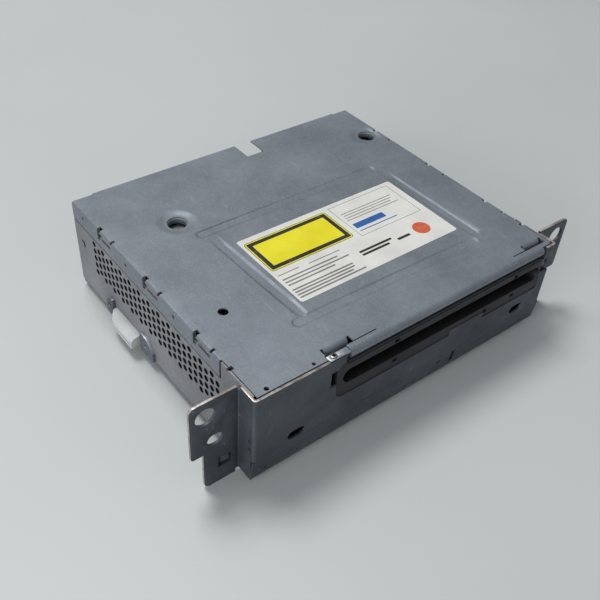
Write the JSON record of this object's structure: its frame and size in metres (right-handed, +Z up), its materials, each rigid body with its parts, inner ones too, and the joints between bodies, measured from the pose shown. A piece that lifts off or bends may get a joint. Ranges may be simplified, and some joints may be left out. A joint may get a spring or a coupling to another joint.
{
  "type": "car cd player",
  "caption": "Slot-loading disc player for a dashboard bay: sheet steel chassis with mounting ears, pressed cover, floating disc deck, feed roller and clamp arm.",
  "frame": {"origin": "middle of the whole object's footprint, at the height of the ears' lower edges", "axes": "+X to the right seen from the front, +Y into the dashboard from the disc slot, +Z up"},
  "size_m": [0.226, 0.164, 0.0533],
  "materials": {
    "plate_steel": "dark blue-grey coated sheet with bright cut edges",
    "galvanised_steel": "satin galvanised sheet, faintly mottled",
    "zinc_steel": "bright zinc plate",
    "dark_plastic": "matt moulded plastic",
    "white_plastic": "matt moulded plastic",
    "pale_plastic": "acetal, satin",
    "felt": "short felt",
    "label_paper": "coated film, satin",
    "screw_steel": "plated",
    "brass_screw": "yellow plated",
    "brass_gear": "turned",
    "board": "glass fibre board with green mask",
    "capacitor_sleeve": "shrink sleeve",
    "sink_aluminium": "extruded, satin",
    "motor_steel": "drawn can",
    "shaft_steel": "ground",
    "spring_steel": "drawn wire",
    "belt_rubber": "smooth",
    "roller_rubber": "ground, matt",
    "damper_rubber": "soft, matt",
    "ribbon_film": "flat film",
    "sled_metal": "die cast",
    "lens_glass": "polished"
  },
  "bodies": {
    "housing": {"antenna_sockets": "dark_plastic", "board_capacitors": "capacitor_sleeve", "board_posts": "screw_steel", "bottom_plate": "galvanised_steel", "bottom_screws": "screw_steel", "deck_dampers": "damper_rubber", "deck_springs": "spring_steel", "disc_guide": "dark_plastic", "drive_belt": "belt_rubber", "drive_frame": "galvanised_steel", "front_plate": "plate_steel", "front_tab": "zinc_steel", "front_tab_screw": "screw_steel", "heat_sink": "sink_aluminium", "label_sheet": "label_paper", "left_wall": "galvanised_steel", "loading_motor": "motor_steel", "lower_felt": "felt", "main_board": "board", "main_connector": "dark_plastic", "power_amplifier": "dark_plastic", "rear_panel": "galvanised_steel", "ribbon_cable": "ribbon_film", "right_wall": "galvanised_steel", "side_bumper": "white_plastic", "slot_bezel": "dark_plastic", "top_cover": "galvanised_steel", "transport_screws": "brass_screw", "tuner_module": "zinc_steel", "upper_felt": "felt"},
    "mode_slider": {"mode_slider": "zinc_steel"},
    "roller_bracket": {"roller_bracket": "zinc_steel"},
    "feed_roller": {"roller_sleeve": "roller_rubber", "roller_shaft": "shaft_steel", "roller_gear": "pale_plastic"},
    "drive_pulley": {"drive_pulley": "pale_plastic"},
    "motor_pulley": {"motor_pulley": "pale_plastic", "motor_shaft": "shaft_steel"},
    "deck": {"deck_plate": "zinc_steel", "spindle_motor": "motor_steel", "guide_rod": "shaft_steel", "sled_motor": "motor_steel", "arm_pin": "shaft_steel"},
    "turntable": {"turntable": "dark_plastic", "spindle_shaft": "shaft_steel"},
    "pickup": {"pickup_sled": "sled_metal", "pickup_lens": "lens_glass"},
    "lead_screw": {"lead_screw": "shaft_steel", "screw_gear": "pale_plastic"},
    "motor_pinion": {"motor_pinion": "brass_gear", "sled_motor_shaft": "shaft_steel"},
    "clamp_arm": {"clamp_arm": "zinc_steel"},
    "clamper": {"clamper": "pale_plastic"}
  },
  "joints": [
    {"name": "mode_slide", "type": "slide", "parent": "housing", "child": "mode_slider", "axis": [0, 1, 0], "range_m": [-0.003, 0.005]},
    {"name": "roller_tilt", "type": "hinge", "parent": "housing", "child": "roller_bracket", "pos_m": [0.0188, -0.046, 0.029], "axis": [1, 0, 0], "range_deg": [-9.01, 15.01]},
    {"name": "feed_roller_spin", "type": "hinge", "parent": "roller_bracket", "child": "feed_roller", "pos_m": [0.0188, -0.0686, 0.0316], "axis": [1, 0, 0], "continuous": true},
    {"name": "drive_pulley_spin", "type": "hinge", "parent": "housing", "child": "drive_pulley", "pos_m": [-0.047, -0.0632, 0.042], "axis": [1, 0, 0], "continuous": true},
    {"name": "motor_pulley_spin", "type": "hinge", "parent": "housing", "child": "motor_pulley", "pos_m": [-0.048, -0.03, 0.04], "axis": [1, 0, 0], "continuous": true},
    {"name": "deck_float", "type": "slide", "parent": "housing", "child": "deck", "axis": [0, 0, 1], "range_m": [-0.0015, 0.0015], "stiffness_N_per_m": 2500, "springref_m": 0.0004, "deforming": ["deck_dampers", "deck_springs"]},
    {"name": "turntable_spin", "type": "hinge", "parent": "deck", "child": "turntable", "pos_m": [0.0188, -0.008, 0.032], "axis": [0, 0, 1], "continuous": true},
    {"name": "pickup_slide", "type": "slide", "parent": "deck", "child": "pickup", "axis": [0, 1, 0], "range_m": [0, 0.035]},
    {"name": "lead_screw_spin", "type": "hinge", "parent": "deck", "child": "lead_screw", "pos_m": [0.0388, 0.028, 0.029], "axis": [0, 1, 0], "range_deg": [-2, 3602]},
    {"name": "motor_pinion_spin", "type": "hinge", "parent": "deck", "child": "motor_pinion", "pos_m": [0.04074, 0.058, 0.0206], "axis": [0, 1, 0], "range_deg": [-6603, 3]},
    {"name": "clamp_arm_tilt", "type": "hinge", "parent": "deck", "child": "clamp_arm", "pos_m": [0.0188, 0.056, 0.043], "axis": [1, 0, 0], "range_deg": [-2.97, 4.94]},
    {"name": "clamper_spin", "type": "hinge", "parent": "clamp_arm", "child": "clamper", "pos_m": [0.0188, -0.008, 0.044], "axis": [0, 0, 1], "continuous": true}
  ],
  "couplings": [
    {"joint": "roller_tilt", "follows": "mode_slide", "rad_per_m": 52.36},
    {"joint": "clamp_arm_tilt", "follows": "mode_slide", "rad_per_m": 17.209},
    {"joint": "motor_pulley_spin", "follows": "drive_pulley_spin", "ratio": 2.8113},
    {"joint": "lead_screw_spin", "follows": "pickup_slide", "rad_per_m": 1795.2},
    {"joint": "motor_pinion_spin", "follows": "pickup_slide", "rad_per_m": -3291.2}
  ]
}
